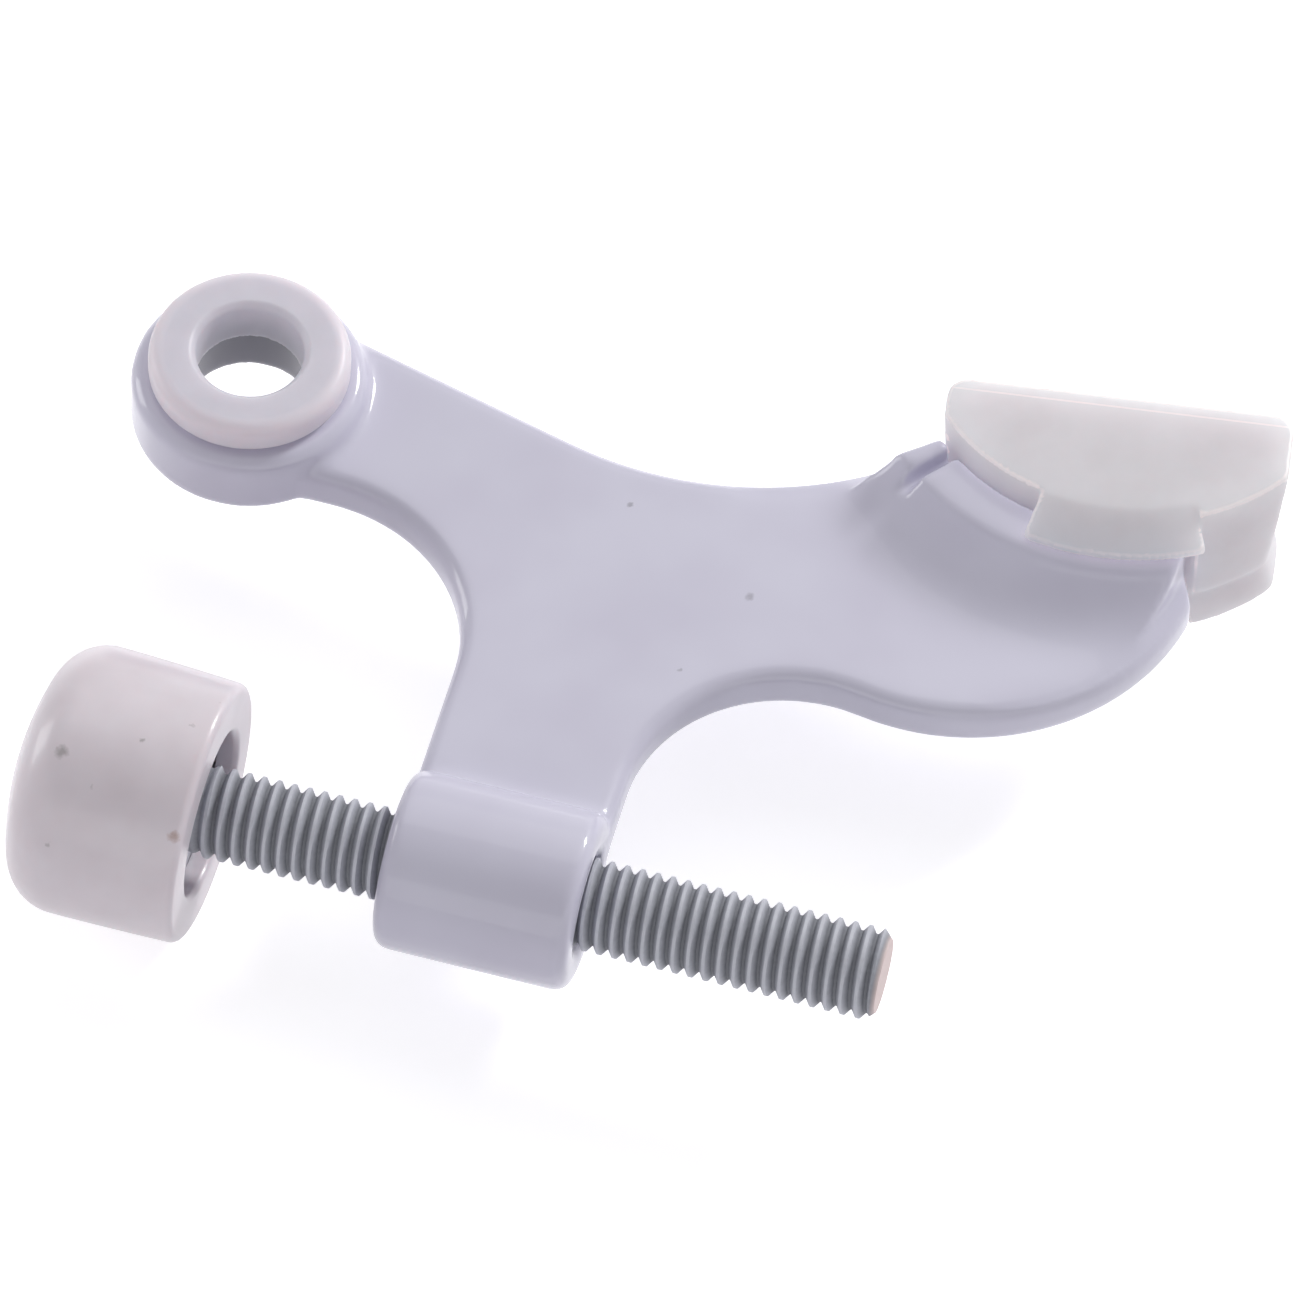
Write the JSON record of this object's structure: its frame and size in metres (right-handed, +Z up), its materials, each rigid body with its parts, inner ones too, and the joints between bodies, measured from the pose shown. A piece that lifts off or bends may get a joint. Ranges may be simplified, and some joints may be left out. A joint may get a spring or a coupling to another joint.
{
  "type": "hinge pin door stop",
  "caption": "Cast arm with an eye that slips over a door's hinge pin, a soft pad in a curved head, and a threaded rod with a soft bumper cap that screws in or out to set the stop.",
  "frame": {"origin": "on the hinge pin's axis, where the bushing's flange sits on the eye", "axes": "+Z up along the hinge pin out of the bushing, +X along the threaded rod from the cap to its free end"},
  "size_m": [0.075, 0.0535, 0.0176],
  "materials": {
    "painted_casting": "gloss white paint over a zinc die casting",
    "bushing_plastic": "satin moulded white plastic",
    "plated_steel": "dull grey plated rolled thread",
    "cap_rubber": "satin moulded white rubber",
    "pad_rubber": "cloudy translucent soft vinyl"
  },
  "bodies": {
    "casting": {"stop_body": "painted_casting", "pin_bushing": "bushing_plastic", "stop_pad": "pad_rubber"},
    "cap": {"bumper_cap": "cap_rubber"},
    "rod": {"threaded_rod": "plated_steel"}
  },
  "joints": [
    {"name": "rod_travel", "type": "slide", "parent": "casting", "child": "cap", "axis": [1, 0, 0], "range_m": [-0.019, 0.0112]},
    {"name": "rod_turn", "type": "hinge", "parent": "cap", "child": "rod", "pos_m": [0.0252, -0.0318, -0.0033], "axis": [1, 0, 0], "range_deg": [-6846, 4040]}
  ],
  "couplings": [
    {"joint": "rod_turn", "follows": "rod_travel", "rad_per_m": 6283.2}
  ]
}
